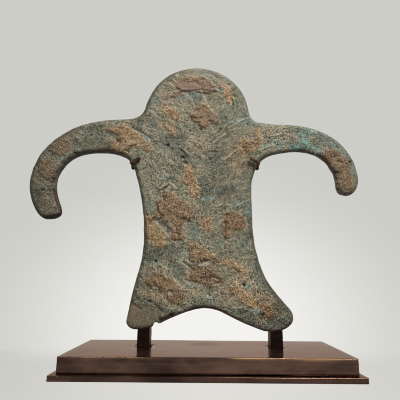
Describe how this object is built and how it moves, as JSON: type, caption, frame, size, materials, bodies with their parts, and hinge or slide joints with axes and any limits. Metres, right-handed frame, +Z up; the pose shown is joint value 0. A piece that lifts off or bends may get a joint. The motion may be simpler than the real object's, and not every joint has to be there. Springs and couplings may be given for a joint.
{
  "type": "copper figure on a stand",
  "caption": "Flat corroded copper figure of a person with a round head, hooked arms and spread legs, held upright by armpit hooks on a dark bronze display stand.",
  "frame": {"origin": "centre of the stand's underside, on the floor", "axes": "+X to the viewer's right, +Y away from the viewer towards the back of the figure, +Z up"},
  "size_m": [0.3301, 0.1144, 0.3023],
  "materials": {
    "copper": "rough grey-green patina with tan and brown earthy crust",
    "bronze": "smooth dark brown patina, rubbed golden along the edges",
    "dark_bronze": "near-black brown patina"
  },
  "bodies": {
    "root": {"figure": "copper", "left_upright": "dark_bronze", "right_upright": "dark_bronze", "base_block": "bronze", "base_plate": "bronze"}
  },
  "joints": []
}
